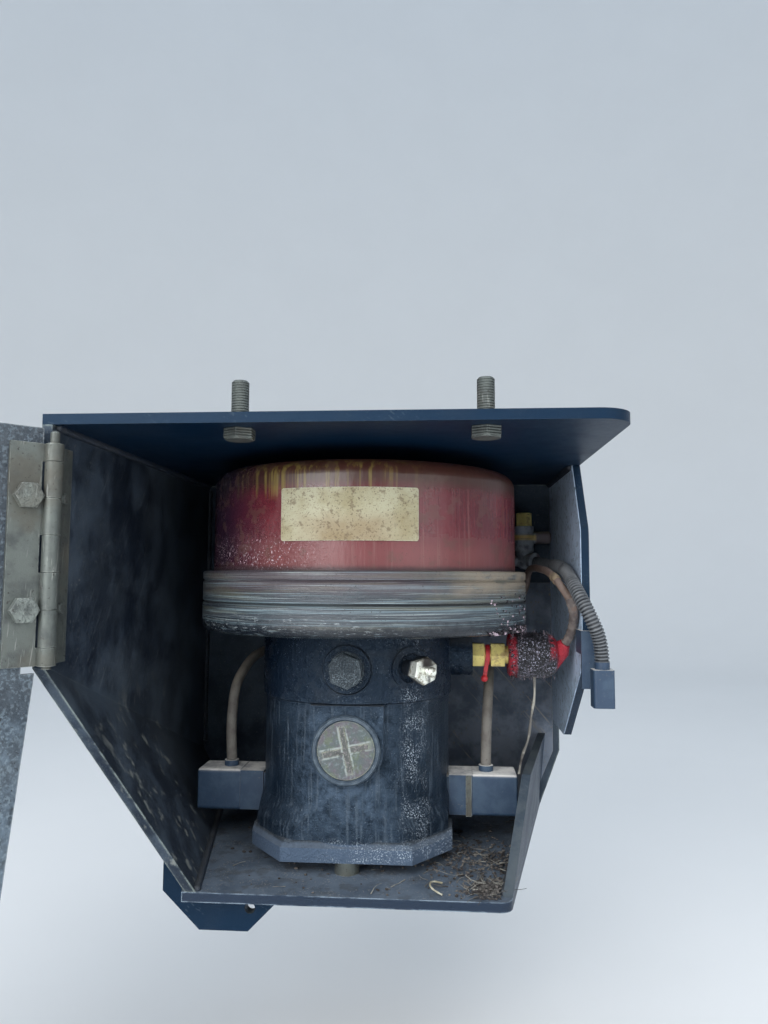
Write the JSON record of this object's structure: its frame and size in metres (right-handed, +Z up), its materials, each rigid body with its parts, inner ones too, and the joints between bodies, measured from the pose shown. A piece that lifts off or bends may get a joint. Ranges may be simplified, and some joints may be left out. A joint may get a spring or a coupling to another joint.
{
  "type": "automatic grease pump on hanging bracket",
  "caption": "Automatic lubrication pump with clear grease reservoir, standing on the shelf of a hanging sheet-steel bracket with a hinged cover door.",
  "frame": {"origin": "centre of the rectangle of hanging bolts, on the upper face of the top plate", "axes": "+Z up along the bolts, +X to the right seen from the open front, +Y to the back plate"},
  "size_m": [0.5586, 0.5406, 0.353],
  "materials": {
    "bracket_paint": "satin, greasy and dusty",
    "wall_paint": "satin, lightly scratched",
    "dusty_plate": "matt, dusty",
    "cast_body": "painted, greasy",
    "zinc": "dull, dirty",
    "brass": "satin",
    "clear_cup": "clear, stained",
    "grease": "wet",
    "ring_plastic": "dirty, streaked",
    "label_film": "speckled",
    "sight_window": "cloudy",
    "black_plastic": "dusty",
    "boot_rubber": "greasy",
    "strap_rubber": "dull",
    "lead_jacket": "dusty"
  },
  "bodies": {
    "bracket": {"back_plate": "bracket_paint", "backing_plate": "dusty_plate", "boot_strap": "strap_rubber", "cable_fitting": "black_plastic", "cable_fitting_nut": "brass", "conduit": "black_plastic", "conduit_plug": "black_plastic", "connector_clip": "zinc", "connector_left": "black_plastic", "connector_right": "black_plastic", "filler_nipple": "zinc", "grease": "grease", "hex_plug": "cast_body", "hinge_pin": "zinc", "hinge_wall_bolts": "zinc", "hinge_wall_leaf": "zinc", "lead_clips": "zinc", "left_wall": "bracket_paint", "lug": "bracket_paint", "mount_bolts": "bracket_paint", "pump_body": "cast_body", "pump_feet": "zinc", "reservoir": "clear_cup", "reservoir_label": "label_film", "retaining_ring": "ring_plastic", "right_wall": "wall_paint", "shelf": "bracket_paint", "side_gusset": "bracket_paint", "sight_glass": "sight_window", "sight_ring": "ring_plastic", "switch_boot": "boot_rubber", "switch_fittings": "brass", "switch_lead": "lead_jacket", "top_plate": "bracket_paint", "valve_lead": "lead_jacket"},
    "door": {"door_panel": "bracket_paint", "hinge_door_leaf": "zinc", "hinge_door_bolts": "zinc"}
  },
  "joints": [
    {"name": "door_hinge", "type": "hinge", "parent": "bracket", "child": "door", "pos_m": [-0.16575, -0.1355, -0.078], "axis": [0, 0, 1], "range_deg": [0, 135]}
  ]
}
